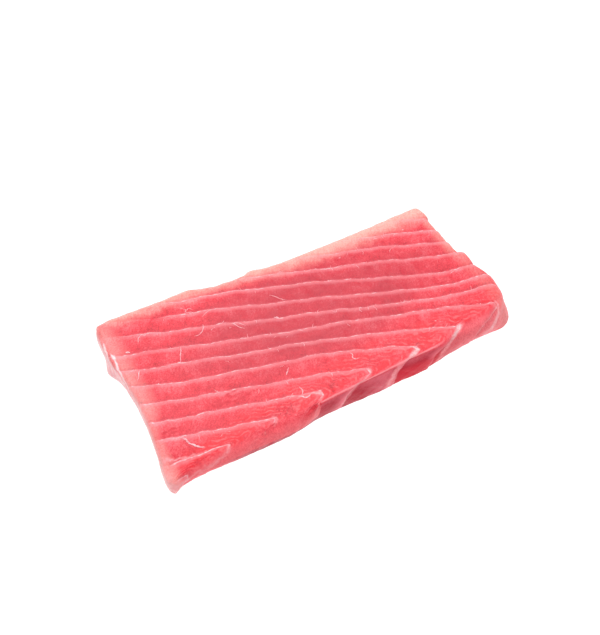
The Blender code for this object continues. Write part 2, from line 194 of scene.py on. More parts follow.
# Dark red streaks and nicks, in the same way
NICKS = (
    ((-98.8, -32.8, 1.2, 0.6), (-99.2, -30.8, 1.4, 1), (-97.8, -29.4, 1.4, 1), (-94.9, -29.1, 1.5, 1),
     (-90.6, -29.6, 1.4, 0.8), (-86.8, -31.2, 1, 0.2)),
    ((-96.2, -33.2, 1.1, 0.7), (-96.6, -32, 1.3, 1), (-95, -31.5, 1.4, 1), (-91.9, -31.4, 1.4, 0.9),
     (-88.4, -32.5, 1, 0.3)),
    ((-73.6, -26.4, 1.2, 0.3), (-66, -27.4, 1.6, 0.8), (-58, -28.9, 1.6, 0.8), (-50.6, -30.4, 1, 0.3)),
    ((-66.6, -24.4, 1, 0.3), (-58.6, -25.8, 1.5, 0.8), (-51, -27.8, 1.4, 0.7), (-43.4, -29.8, 1, 0.2)),
    ((-60, -29.8, 1, 0.2), (-52.6, -31.6, 1.4, 0.7), (-45, -33, 1.4, 0.6), (-36, -33.6, 1, 0.2)),
    ((-73, -25.6, 0.9, 0.3), (-66, -25.1, 1.2, 0.8), (-58.5, -23.9, 1.3, 0.8), (-50, -22.8, 1, 0.3)),
    ((-79.3, -26.4, 0.8, 0.3), (-73, -26.8, 1, 0.7), (-66.6, -26.9, 1, 0.7), (-60, -26, 0.9, 0.2)),
    ((-64, -29.6, 0.8, 0.2), (-56, -29.4, 1.2, 0.7), (-47, -28.4, 1.2, 0.7), (-38, -27.4, 0.8, 0.2)),
    ((76.4, -34.6, 0.8, 0.3), (79.6, -35.6, 1.5, 0.9), (82.8, -36.9, 1.8, 1), (85.6, -38.1, 1.3, 0.8),
     (88, -38.6, 0.6, 0.2)),
    ((88.6, -29.8, 0.8, 0.3), (92, -31.4, 1.4, 0.7), (94.6, -33.6, 0.9, 0.3)),
    ((-102.4, 30, 1, 0.3), (-103.6, 25.6, 1.6, 0.7), (-105.2, 20.8, 1.2, 0.5), (-104.8, 14.8, 1, 0.3)),
)
WANDER = ((7.3, 0.35), (3.7, 0.22))  # how the strands waver: wave length and reach in mm
STRAND_EDGE = (0.3, 1.9)  # where a strand fades out, in halves of its width from its middle

# A loose fold of membrane low on the left end
MEMBRANE_OUT = 3.0
MEMBRANE_AT = (27, 5)  # its Y and Z
MEMBRANE_SIZE = (6, 4)


def smoothstep(low, high, value):
    """0 below low, 1 above high, and a smooth rise between."""
    t = np.clip((value - low) / (high - low), 0.0, 1.0)
    return t * t * (3.0 - 2.0 * t)


def spline(before, here, after, beyond, t):
    """Points of a smooth curve at the shares t of the way from here to after."""
    return 0.5 * (
        2.0 * here
        + (after - before) * t
        + (2.0 * before - 5.0 * here + 4.0 * after - beyond) * t**2
        + (3.0 * here - before - 3.0 * after + beyond) * t**3
    )


def resample(loop, step):
    """The closed loop's points again, evenly spaced about step apart, with all that each carries."""
    closed = np.vstack([loop, loop[:1]])
    lengths = np.linalg.norm(np.diff(closed[:, :2], axis=0), axis=1)
    along = np.concatenate([[0.0], np.cumsum(lengths)])
    count = int(round(along[-1] / step))
    at = np.arange(count) * along[-1] / count
    return np.column_stack([np.interp(at, along, column) for column in closed.T])


def smooth_outline(step):
    """The block's outline as a closed spline through its named points: X, Y, rim radius and draw."""
    knots = np.array(BACK_EDGE + RIGHT_END + FRONT_EDGE + LEFT_END)
    before, after, beyond = (np.roll(knots, shift, axis=0) for shift in (1, -1, -2))
    shares = np.linspace(0.0, 1.0, 24, endpoint=False)[:, None, None]
    curve = spline(before, knots, after, beyond, shares)
    return resample(curve.transpose(1, 0, 2).reshape(-1, knots.shape[1]), step)


def outward_normals(loop, step, spread=7.0):
    """Unit normals that point out of a clockwise loop, smoothed over spread so that rings don't cross."""
    reach = max(1, int(round(spread / step)))
    ahead = sum(np.roll(loop, -k, axis=0) for k in range(1, reach + 1))
    behind = sum(np.roll(loop, k, axis=0) for k in range(1, reach + 1))
    along = ahead - behind
    normals = np.column_stack([-along[:, 1], along[:, 0]])
    return normals / np.linalg.norm(normals, axis=1, keepdims=True)


def septum_curves():
    """Polynomials in X for the Y of every septum, filled out by the pitch where a station lists none."""
    heights = np.empty((len(STATIONS), SEPTA))
    for row, (_, first, listed) in enumerate(STATIONS):
        last = first + len(listed) - 1
        for number in range(SEPTA):
            known = min(max(number, first), last)
            heights[row, number] = listed[known - first] - PITCH * (number - known)
    stations = [station[0] for station in STATIONS]
    return np.polyfit(stations, heights, len(STATIONS) - 1)


CURVES = septum_curves()
WAVE_PHASES = rng.uniform(0.0, 2.0 * np.pi, (len(WAVES), SEPTA, 1))
UNEVEN_TURNS = rng.uniform(0.0, np.pi, (len(UNEVEN), UNEVEN_CROSSING))
UNEVEN_PHASES = rng.uniform(0.0, 2.0 * np.pi, (len(UNEVEN), UNEVEN_CROSSING))
WANDER_PHASES = rng.uniform(0.0, 2.0 * np.pi, (len(WANDER), 2))


def septum_heights(x):
    """The Y of every septum at each x: one row for each septum, back to front."""
    heights = sum(np.outer(c, x**power) for power, c in zip(range(len(CURVES) - 1, -1, -1), CURVES))
    for (length, height), phases in zip(WAVES, WAVE_PHASES):
        heights = heights + height * np.sin(2.0 * np.pi * x / length + phases)
    return heights


def fold_line(x):
    """The Y of the fold at x."""
    left = FOLD_LEFT_BEND * np.minimum(x, 0.0) ** 2
    right = FOLD_RIGHT_BEND * np.maximum(x - FOLD_RIGHT_X, 0.0) ** 2
    return FOLD_Y - left + right


def surface_level(x, y, down, front):
    """The Y that a point of the side has once the side is laid out flat with the top."""
    return y - front * down + (1.0 - front) * np.interp(x, LEAN_X, SEPTUM_LEAN) * down


def band_number(x, y, down, front):
    """Which band a surface point is in, with the share of the way across it as the fraction.

    down is how far the point lies below the rim along the surface, and front how squarely it faces front.
    """
    level = surface_level(x, y, down, front)
    past = fold_line(x) - level
    across = x + np.interp(x, TIP_X, TIP_SHIFT) * smoothstep(*TIP_BEND, past)
    hooked = np.interp(past, HOOK_PAST, HOOK_SHIFT)
    across += hooked + (np.interp(past, RIGHT_PAST, RIGHT_SHIFT) - hooked) * smoothstep(*RIGHT_ROLL, x)
    level = np.where(past > 0.0, fold_line(across), level)
    heights = septum_heights(across)
    band = np.clip((heights > level).sum(axis=0), 1, SEPTA - 1)
    column = np.arange(len(x))
    upper, lower = heights[band - 1, column], heights[band, column]
    return band + np.clip((upper - level) / (upper - lower), 0.0, 0.999)


def band_width(x, y, down, front, tangent):
    """How many mm of surface a whole band would take at each point, from the steps of the band number."""
    h = 0.4
    here = band_number(x, y, down, front)
    along = band_number(x + h * tangent[:, 0], y + h * tangent[:, 1], down, front) - here
    across_x, across_y = -tangent[:, 1] * (1.0 - front), tangent[:, 0] * (1.0 - front)
    over = band_number(x + h * across_x, y + h * across_y, down, front) - here
    below = band_number(x, y, down + h, front) - here
    steep = np.hypot(along, np.maximum(np.abs(over), np.abs(below))) / h
    return 1.0 / np.clip(steep, 0.03, 0.5)


def shingle_height(share):
    """A band's height from 0 to 1: a steep rise at its septum, then a rounded fall to the next."""
    rise = smoothstep(0.0, RISER, share)
    return rise * (1.0 - share**SHINGLE_CURVE)


def unevenness(x, y, down):
    """Small waves over the surface, from a few crossing sines at each length."""
    total = np.zeros(len(x))
    for (length, height), turns, phases in zip(UNEVEN, UNEVEN_TURNS, UNEVEN_PHASES):
        for turn, phase in zip(turns, phases):
            along = x * np.cos(turn) + (y + UNEVEN_DOWN[1] * down) * np.sin(turn) + UNEVEN_DOWN[0] * down
            total += height * np.sin(2.0 * np.pi * along / length + phase)
    return total


def strand_strength(strands, x, y):
    """How strongly the strands cover each place laid flat with the top, from 0 to 1."""
    for (length, reach), (turn_x, turn_y) in zip(WANDER, WANDER_PHASES):
        wave = 2.0 * np.pi / length
        x, y = (
            x + reach * np.sin(wave * (0.6 * x + y) + turn_x),
            y + reach * np.sin(wave * (x - 0.7 * y) + turn_y),
        )
    cover = np.zeros(len(x))
    for strand in strands:
        for (ax, ay, aw, start), (bx, by, bw, end) in zip(strand, strand[1:]):
            run_x, run_y = bx - ax, by - ay
            share = ((x - ax) * run_x + (y - ay) * run_y) / (run_x**2 + run_y**2)
            share = np.clip(share, 0.0, 1.0)
            gap = np.hypot(x - ax - share * run_x, y - ay - share * run_y)
            half = 0.5 * (aw + share * (bw - aw))
            strength = start + share * (end - start)
            cover = np.maximum(cover, strength * (1.0 - smoothstep(*STRAND_EDGE, gap / half)))
    return cover


def relief(x, y, down, front):
    """How far the bands and the unevenness stand out of the plain surface."""
    share = band_number(x, y, down, front) % 1.0
    lost = smoothstep(*BACK_FADE_Y, y) * (BACK_LOSS - BACK_GAIN * smoothstep(*BACK_GAIN_X, x))
    kept = (1.0 - lost) * (LEFT_KEPT + (1.0 - LEFT_KEPT) * smoothstep(*LEFT_FADE_X, x))
    kept *= 1.0 - END_LOSS * (1.0 - front) * smoothstep(0.0, END_DOWN, down)
    side_step = SIDE_SHINGLE * (SIDE_STEP_KEPT + (1.0 - SIDE_STEP_KEPT) * smoothstep(*SIDE_STEP_X, x))
    side_step *= 1.0 - SIDE_LOSS * smoothstep(*SIDE_FADE_DOWN, down)
    side = front * smoothstep(0.0, RIM_DOWN, down)
    step = SHINGLE * kept * (1.0 - side) + side_step * side
    return step * (shingle_height(share) - STEP_SUNK) + unevenness(x, y, down)


def top_height(x, y):
    """The plain top face: nearly flat, gently uneven, and drooping along the belly edge."""
    swell = SWELL[0] * np.sin(x / SWELL[1] + SWELL_START) * np.cos(y / SWELL[2])
    swell += SHORT_SWELL[0] * np.sin(x / SHORT_SWELL[1] - y / SHORT_SWELL[2])
    front_y = np.interp(x, *np.array(FRONT_EDGE[::-1]).T[:2])
    lobe = smoothstep(BELLY_END_X, BELLY_END_X - BELLY_FADE, x)
    droop = BELLY_DROOP * lobe * (1.0 - smoothstep(0.0, BELLY_REACH, y - front_y)) ** BELLY_CURVE
    from_corner = np.hypot(x - CORNER[0], y - CORNER[1])
    corner = CORNER_DROOP * (1.0 - smoothstep(0.0, CORNER_REACH, from_corner))
    return THICKNESS + swell - droop - corner


def surface_height(x, y):
    """The height of the top face with its relief."""
    level = np.zeros(len(x))
    return top_height(x, y) + relief(x, y, level, level)


def side_rings():
    """Rings from the top's edge down to the underside: places, and each point's plain place and facing."""
    outline, radius, draw = np.split(smooth_outline(OUTLINE_STEP), (2, 3), axis=1)
    radius, draw = radius[:, 0], draw[:, 0]
    normals = outward_normals(outline, OUTLINE_STEP)
    tangents = np.column_stack([normals[:, 1], -normals[:, 0]])
    front = np.maximum(-normals[:, 1], 0.0) ** 2
    inner = outline - normals * radius[:, None]
    top = top_height(*inner.T)
    rings = []
    for turn in np.radians(np.linspace(0.0, 90.0, RIM_TURNS)):
        flat = inner + normals * (radius * np.sin(turn))[:, None]
        height = top - radius * (1.0 - np.cos(turn))
        facing = np.column_stack([normals * np.sin(turn), np.full(len(flat), np.cos(turn))])
        rings.append((flat, height, facing, radius * turn))
    shoulder = top - radius
    facing = np.column_stack([normals, np.zeros(len(outline))])
    for share in np.linspace(0.0, 1.0, SIDE_LEVELS + 1)[1:]:
        height = FOOT_CHAMFER + (shoulder - FOOT_CHAMFER) * (1.0 - share)
        out = SIDE_BULGE * np.sin(np.pi * share) - draw * share**DRAW_CURVE
        loose = np.exp(
            -(((outline[:, 1] - MEMBRANE_AT[0]) / MEMBRANE_SIZE[0]) ** 2)
            - ((height - MEMBRANE_AT[1]) / MEMBRANE_SIZE[1]) ** 2
        )
        out = out + MEMBRANE_OUT * loose * np.maximum(-normals[:, 0], 0.0) ** 4
        flat = outline + normals * out[:, None]
        rings.append((flat, height, facing, radius * np.pi / 2.0 + shoulder - height))
    places, notes = [], []
    for flat, height, facing, down in rings:
        places.append(np.column_stack([flat, height]) + facing * relief(*flat.T, down, front)[:, None])
        notes.append(point_notes(*flat.T, down, front, tangents))
    return places, notes


NOTES = ("band", "band_width", "past_fold", "down", "front", "strand", "nick")


def point_notes(x, y, down, front, tangents):
    """What the material needs at each point: the numbers that NOTES names."""
    flat_x, flat_y = x - tangents[:, 1] * down, y + tangents[:, 0] * down
    return np.column_stack([
        band_number(x, y, down, front),
        band_width(x, y, down, front, tangents),
        fold_line(x) - surface_level(x, y, down, front),
        down,
        front,
        strand_strength(STRANDS, flat_x, flat_y),
        strand_strength(NICKS, flat_x, flat_y),
    ])


def foot_ring(lowest):
    """The underside's edge, a chamfer in from the lowest ring of the side."""
    flat = lowest[:, :2]
    foot = flat - outward_normals(flat, OUTLINE_STEP) * FOOT_CHAMFER
    return np.column_stack([foot, np.zeros(len(foot))])


def inside(points, loop):
    """Which points lie inside the loop and RIM_CLEARANCE or more from its corners."""
    within = np.zeros(len(points), bool)
    gap = np.full(len(points), np.inf)
    for (ax, ay), (bx, by) in zip(loop, np.roll(loop, -1, axis=0)):
        crosses = (ay > points[:, 1]) != (by > points[:, 1])
        if ay != by:
            within ^= crosses & (points[:, 0] < ax + (points[:, 1] - ay) * (bx - ax) / (by - ay))
        gap = np.minimum(gap, np.hypot(points[:, 0] - ax, points[:, 1] - ay))
    return within & (gap > RIM_CLEARANCE)


def top_rows():
    """Rows of points on the top face: along the bands behind the fold, and along the fold in front of it."""
    x = np.arange(*ROWS_X, STATION_STEP)
    heights = septum_heights(x)
    rows = []
    for band in range(SEPTA - 1):
        for share in BAND_ROWS:
            y = heights[band] + share * (heights[band + 1] - heights[band])
            behind = y > fold_line(x) + FOLD_GAP
            rows.append((np.column_stack([x, y]), behind))
    close = np.arange(*ROWS_X, FOLD_STEP)
    for past in np.arange(0.0, FOLD_DEEP, FOLD_STEP):
        rows.append((np.column_stack([close, fold_line(close) - past]), np.ones(len(close), bool)))
    return rows


def under_rows():
    """Plain rows of points on the underside."""
    x = np.arange(*ROWS_X, UNDER_STEP)
    rows = [np.column_stack([x, np.full(len(x), y)]) for y in np.arange(*ROWS_Y, UNDER_STEP)]
    return [(row, np.ones(len(x), bool)) for row in rows]


def sheet(rim, rows):
    """A face within the rim's points: its inner points, and triangles that follow the rows."""
    places = np.vstack([row for row, _ in rows])
    kept = inside(places, rim) & np.concatenate([behind for _, behind in rows])
    points, edges = [Vector(point) for point in rim], [(k, (k + 1) % len(rim)) for k in range(len(rim))]
    at = 0
    for row, _ in rows:
        previous = None
        for keep in kept[at : at + len(row)]:
            if keep:
                if previous is not None:
                    edges.append((previous, len(points)))
                previous = len(points)
                points.append(Vector(places[at]))
            else:
                previous = None
            at += 1
    corners, _, faces, sources, _, _ = delaunay_2d_cdt(points, edges, [], 1, 1e-5)
    inner, numbers = [], []
    for corner, source in zip(corners, sources):
        on_rim = source and min(source) < len(rim)
        numbers.append(min(source) if on_rim else len(rim) + len(inner))
        if not on_rim:
            inner.append(tuple(corner))
    return np.array(inner), [[numbers[corner] for corner in face] for face in faces]


def level_notes(flat):
    """What the material needs at places on a level face."""
    level = np.zeros(len(flat))
    return point_notes(*flat.T, level, level, np.tile([1.0, 0.0], (len(flat), 1)))


def strip(upper, lower, count):
    """The faces between two rings of points, from the numbers of their first points."""
    after = [(k + 1) % count for k in range(count)]
    return [(upper + k, upper + after[k], lower + after[k], lower + k) for k in range(count)]


def add_object(name, data):
    """A new object in the scene with this data."""
    made = bpy.data.objects.new(name, data)
    bpy.context.scene.collection.objects.link(made)
    return made


def add_mesh(name, points, faces):
    """A new object in the scene with a smooth mesh through points in mm."""
    mesh = bpy.data.meshes.new(name)
    mesh.from_pydata((np.array(points) * MM).tolist(), [], faces)
    mesh.shade_smooth()
    return add_object(name, mesh)


def flesh_piece():
    """The whole block as one closed, fine mesh that carries what its material reads at each point."""
    rings, notes = side_rings()
    rings.append(foot_ring(rings[-1]))
    foot = rings[-1][:, :2]
    notes.append(level_notes(foot))
    flat, top = sheet(rings[0][:, :2], top_rows())
    inner = np.column_stack([flat, surface_height(*flat.T)])
    low, base = sheet(foot, under_rows())
    under = np.column_stack([low, np.zeros(len(low))])
    count = len(rings[0])
    points = np.vstack([rings[0], inner, *rings[1:], under])
    carried = np.vstack([notes[0], level_notes(flat), *notes[1:], level_notes(low)])
    starts = [0] + [count + len(inner) + count * k for k in range(len(rings) - 1)]
    faces = [list(face) for face in top]
    for upper, lower in zip(starts, starts[1:]):
        faces.extend(strip(upper, lower, count))
    faces.extend([starts[-1] + corner for corner in face] for face in base)
    points[:, :2] -= CENTRE
    piece = add_mesh("tuna_flesh", points, faces)
    for column, name in enumerate(NOTES):
        layer = piece.data.attributes.new(name, "FLOAT", "POINT")
        layer.data.foreach_set("value", carried[:, column].astype(np.float32))
    solid = bmesh.new()
    solid.from_mesh(piece.data)
    bmesh.ops.recalc_face_normals(solid, faces=solid.faces)
    solid.to_mesh(piece.data)
    solid.free()
    return piece


def srgb(red, green, blue):
    """A display colour from 0 to 255 as a shader colour."""
    channels = np.array([red, green, blue]) / 255.0
    linear = np.where(channels <= 0.04045, channels / 12.92, ((channels + 0.055) / 1.055) ** 2.4)
    return (*linear.tolist(), 1.0)


class Nodes:
    """Short ways to add nodes to one material."""

    def __init__(self, name):
        self.material = bpy.data.materials.new(name)
        self.material.use_nodes = True
        self.tree = self.material.node_tree
        self.shader = self.tree.nodes["Principled BSDF"]

    def feed(self, node, inputs):
        """Links each value to the node's input if it is an output, and sets it otherwise."""
        for name, value in inputs.items():
            if isinstance(value, bpy.types.NodeSocket):
                self.tree.links.new(value, node.inputs[name])
            else:
                node.inputs[name].default_value = value

    def add(self, kind, inputs, **settings):
        """A node with its settings, and its inputs linked or set."""
        made = self.tree.nodes.new("ShaderNode" + kind)
        for name, value in settings.items():
            setattr(made, name, value)
        self.feed(made, inputs)
        return made

    def maths(self, operation, first, second=0.0, clamp=False):
        """The result of a Math node."""
        inputs = {0: first, 1: second}
        return self.add("Math", inputs, operation=operation, use_clamp=clamp).outputs[0]

    def plus(self, first, second):
        """Two numbers added."""
        return self.maths("ADD", first, second)

    def minus(self, first, second):
        """The first number less the second."""
        return self.maths("SUBTRACT", first, second)

    def rest(self, share):
        """What a share leaves of 1."""
        return self.minus(1.0, share)

    def off(self, value, middle):
        """How far a number is from its middle."""
        return self.maths("ABSOLUTE", self.minus(value, middle))

    def times(self, *factors):
        """Numbers multiplied."""
        product = factors[0]
        for factor in factors[1:]:
            product = self.maths("MULTIPLY", product, factor)
        return product

    def ramp(self, value, low, high, start=0.0, end=1.0):
        """start where value is low or less, end where it is high or more, and smooth between."""
        inputs = {"Value": value, "From Min": low, "From Max": high, "To Min": start, "To Max": end}
        made = self.add("MapRange", inputs, interpolation_type="SMOOTHSTEP")
        return made.outputs["Result"]

    def mix(self, factor, first, second):
        """Two colours mixed."""
        return self.add("Mix", {0: factor, 6: first, 7: second}, data_type="RGBA").outputs[2]

    def mix_number(self, factor, first, second):
        """Two numbers mixed."""
        return self.add("Mix", {0: factor, 2: first, 3: second}, data_type="FLOAT").outputs[0]

    def carried(self, name):
        """A number that the mesh carries."""
        return self.add("Attribute", {}, attribute_name=name).outputs["Fac"]

    def place(self, turn=0.0, stretch=(1.0, 1.0, 1.0)):
        """The point's place in mm, turned about Z by degrees and then stretched."""
        coordinates = self.add("TexCoord", {}).outputs["Object"]
        inputs = {"Vector": coordinates, "Rotation": (0.0, 0.0, np.radians(turn)), "Scale": (1 / MM,) * 3}
        in_mm = self.add("Mapping", inputs).outputs[0]
        return self.add("Mapping", {"Vector": in_mm, "Scale": stretch}).outputs[0]

    def noise(self, place, scale, detail=3.0, roughness=0.55, distortion=0.0):
        """A noise value at a place in mm."""
        names = ("Vector", "Scale", "Detail", "Roughness", "Distortion")
        inputs = dict(zip(names, (place, scale, detail, roughness, distortion)))
        return self.add("TexNoise", inputs).outputs["Fac"]

    def plus_noise(self, value, noise, amount, clamp=True):
        """The value with a noise of middle 0.5 added, amount times as strong."""
        return self.maths("ADD", value, self.times(self.minus(noise, 0.5), amount), clamp=clamp)


class FleshNodes(Nodes):
    """The flesh's nodes, with what its sections share."""

    def __init__(self, name):
        super().__init__(name)
        self.spot = self.place()
        self.x, self.y, self.z = self.add("SeparateXYZ", {0: self.spot}).outputs
        self.band, self.past = self.carried("band"), self.carried("past_fold")
        self.down, self.front = self.carried("down"), self.carried("front")
        self.share = self.maths("FRACT", self.band)
        self.mottle = self.noise(self.spot, 0.13, detail=4.0, roughness=0.6)
        self.patch = self.noise(self.place(turn=-8.0, stretch=(0.5, 1.3, 1.3)), 0.075)
        along_fibre = self.place(turn=FIBRE_TURN, stretch=(0.4, 1.0, 1.0))
        self.fibre = self.noise(along_fibre, 1.1, detail=4.0, roughness=0.7, distortion=0.8)
        self.grain = self.noise(self.spot, 1.3, roughness=0.75)
        self.breaks = self.noise(self.spot, 0.4, detail=4.0, roughness=0.65)


FLESH_DEEP = srgb(180, 24, 42)
FLESH_MID = srgb(226, 51, 67)
FLESH_PALE = srgb(243, 108, 118)
FLESH_DULL = srgb(178, 40, 58)
FLESH_RED = srgb(248, 36, 48)
FLESH_ARC = srgb(250, 126, 132)
FLESH_VEIN = srgb(226, 32, 48)
SEPTUM_PINK = srgb(250, 160, 168)
SEPTUM_WHITE = srgb(255, 216, 220)
RIM_SALMON = srgb(255, 180, 168)
RIM_PALE = srgb(255, 184, 184)
WALL_PALE = srgb(255, 206, 210)
SIDE_DULL = srgb(238, 112, 128)
# the front side's crimson: partly deeper red flesh and partly painted shade in its recesses
SIDE_CRIMSON_AND_SHADE = srgb(184, 30, 52)
SIDE_BRIGHT = srgb(220, 18, 48)
LOBE_PINK = srgb(255, 112, 120)
TIP_PINK = srgb(255, 128, 136)
# painted contact shade along the foot and under the lobe
FOOT_PAINTED_SHADE = srgb(176, 40, 62)
STRAND_PINK = srgb(252, 150, 156)
STRAND_WHITE = srgb(255, 214, 216)
NICK_RED = srgb(206, 22, 46)
TISSUE_PINK = srgb(246, 130, 142)
TISSUE_WHITE = srgb(252, 196, 202)

# Ramps here and below: where each starts and ends, then the values there unless 0 and 1
FIBRE_TURN = -66  # degrees that bring the fibres' course onto the X axis
DULL_MIDDLE = (8, 6)  # the duller, darker middle of the top face
DULL_SIZE = (84, 37)
ARCS = 4.6  # arcs of growth in each band


def flesh_tone(m):
    """The flesh: paler in front of each septum and darker towards the next, which is painted light and shade
    of each band's slope, duller in the middle, redder near the front edge.
    """
    # painted light and shade across each band: paler just in front of its septum, darker as the band falls
    # towards the next
    tone = m.ramp(m.share, 0, 1, 0.66, 0.42)
    for noise, amount in ((m.mottle, 0.9), (m.fibre, 0.9), (m.grain, 1.15)):
        tone = m.plus_noise(tone, noise, amount)
    darker = m.mix(m.ramp(tone, 0.05, 0.5), FLESH_DEEP, FLESH_MID)
    colour = m.mix(m.ramp(tone, 0.45, 0.95), darker, FLESH_PALE)
    out_x = m.maths("DIVIDE", m.minus(m.x, DULL_MIDDLE[0]), DULL_SIZE[0])
    out_y = m.maths("DIVIDE", m.minus(m.y, DULL_MIDDLE[1]), DULL_SIZE[1])
    far_out = m.plus(m.times(out_x, out_x), m.times(out_y, out_y))
    dull = m.plus_noise(m.ramp(far_out, 0.05, 1.3, 0.6, 0), m.patch, 0.9)
    colour = m.mix(m.maths("MINIMUM", dull, 0.75), colour, FLESH_DULL)
    in_red = m.times(m.ramp(m.past, -17, -7), m.ramp(m.past, 3.5, 6.5, 1, 0))
    in_red = m.times(in_red, m.ramp(m.plus(m.patch, m.breaks), 0.85, 1.15), 0.6)
    return m.mix(in_red, colour, FLESH_RED)


def growth_arcs(m, colour):
    """Arcs of growth within the bands near the fold: pale rings with red between them."""
    ring_at = m.plus(m.band, m.times(m.noise(m.spot, 0.13, detail=2.0), 0.8))
    off_ring = m.off(m.maths("FRACT", m.times(ring_at, ARCS)), 0.5)
    near_fold = m.times(m.ramp(m.past, -16, -4), m.ramp(m.past, 4, 6.5, 1, 0))
    ring = m.times(m.ramp(off_ring, 0, 0.3, 0.6, 0), near_fold, m.ramp(m.breaks, 0.4, 0.62))
    colour = m.mix(ring, colour, FLESH_ARC)
    gap = m.times(m.ramp(off_ring, 0.25, 0.48, 0, 0.55), near_fold, m.ramp(m.mottle, 0.42, 0.6))
    return m.mix(gap, colour, FLESH_VEIN)


# Along the front side, by X
LOBE_END = -21.6  # the X where the lobe ends, at the top of the side
LOBE_SLANT = 0.2  # how much further left it ends for each mm down
LOBE_SOFT = 1.2  # how softly it ends, and how far that edge wavers
SIDE_END = (44, 58, 1, 0.15)
PALER_START = (3, 16, 0, 0.6)
PALER_END = (20, 24, 1, 0)
BRIGHT_START = (18, 26)  # brighter red from here to the right, low on the side
TIP_START = (50, 74, 0, 0.75)
TIP_END = (93, 100, 1, 0.55)
FOOT_SHADE_START = (-80, -50)  # painted contact shade along the foot
FOOT_SHADE_END = (0, 30, 1, 0)
LOBE_UNDER_SHADE = (-84, -62)  # painted shade under the lobe


def front_side(m, colour):
    """The front side: crimson towards the far side of each band, partly deeper red flesh and partly painted
    shade in the recess behind each step, painted contact shade along the foot and under the lobe, and the
    smooth lobe and tip at its ends.
    """
    lobe_x = m.plus(m.x, m.plus(m.times(m.down, LOBE_SLANT), m.times(m.breaks, LOBE_SOFT)))
    past_lobe = m.ramp(lobe_x, LOBE_END - CENTRE[0], LOBE_END - CENTRE[0] + LOBE_SOFT)
    on_lobe = m.rest(past_lobe)
    middle = m.times(past_lobe, m.ramp(m.x, *SIDE_END))
    side = m.times(m.front, m.ramp(m.down, 1.2, 2.6), middle)
    paler = m.times(m.ramp(m.x, *PALER_START), m.ramp(m.x, *PALER_END))
    # crimson: partly deeper red flesh and partly painted shade in the recess behind each septum step,
    # deepening further down the side
    crimson = m.minus(m.ramp(m.share, 0.03, 0.3), paler)
    crimson = m.times(crimson, m.ramp(m.plus(m.down, m.times(m.breaks, 4)), 3.5, 9, 0.5, 1))
    crimson = m.plus_noise(m.plus_noise(crimson, m.mottle, 0.8), m.fibre, 0.9)
    bright = m.times(m.ramp(m.x, *BRIGHT_START), m.ramp(m.down, 4, 10), 0.8)
    side_colour = m.mix(bright, m.mix(crimson, SIDE_DULL, SIDE_CRIMSON_AND_SHADE), SIDE_BRIGHT)
    colour = m.mix(m.times(side, 0.92), colour, side_colour)

    streaks = m.ramp(m.fibre, 0.34, 0.64, 0.55, 1.05)
    lobe = m.times(m.front, m.ramp(m.down, 1.5, 7), on_lobe, streaks, 0.85)
    colour = m.mix(lobe, colour, LOBE_PINK)
    tip = m.times(m.ramp(m.x, *TIP_START), m.ramp(m.down, 1.5, 6))
    colour = m.mix(m.times(tip, m.ramp(m.x, *TIP_END), streaks), colour, TIP_PINK)
    # painted contact shade along the foot, and painted shade under the overhanging lobe
    foot = m.times(m.ramp(m.x, *FOOT_SHADE_START), m.ramp(m.x, *FOOT_SHADE_END), m.ramp(m.z, 0.3, 3, 0.75, 0))
    under = m.times(m.ramp(m.down, 10, 11.6, 0, 0.8), m.ramp(m.x, *LOBE_UNDER_SHADE), on_lobe)
    colour = m.mix(m.times(m.maths("MAXIMUM", foot, under), m.front), colour, FOOT_PAINTED_SHADE)
    edge = m.times(m.ramp(m.off(m.down, 0.9), 0.1, 0.8, 0.6, 0), m.front, middle)
    return m.mix(edge, colour, SEPTUM_PINK), side


# The paler, thinner rims at the left end and the back, and the right end's rim: partly paler, thinner flesh
# and partly painted light, a glow through the thin edges and highlights on the right end's rim
LEFT_CORNER = (-30, -8)  # over these Y the next two change from their first value to their second
LEFT_END_AT = (-104.3, -100.3)
LEFT_REACH = (10, 15.5)
LEFT_BACK = (8, 26)  # over these Y the rim changes to the weaker one at the back
LEFT_BACK_RIM = (3, 13, 0.42, 0)
BACK_FROM = (-90, 60, 8, -6.5)  # how far the rim's Y is moved, by X
BACK_RIM = (33, 47.5, 0, 0.95)
RIGHT_END_AT = 96.7
RIGHT_RIM = (-1, 8, 0.65, 0)
RIGHT_RIM_Y = (-12, 14, 0.3, 1)
WALL_X = (-100.5, -98, 1, 0)
WALL_Y = (-36, 14, 0.25, 1)


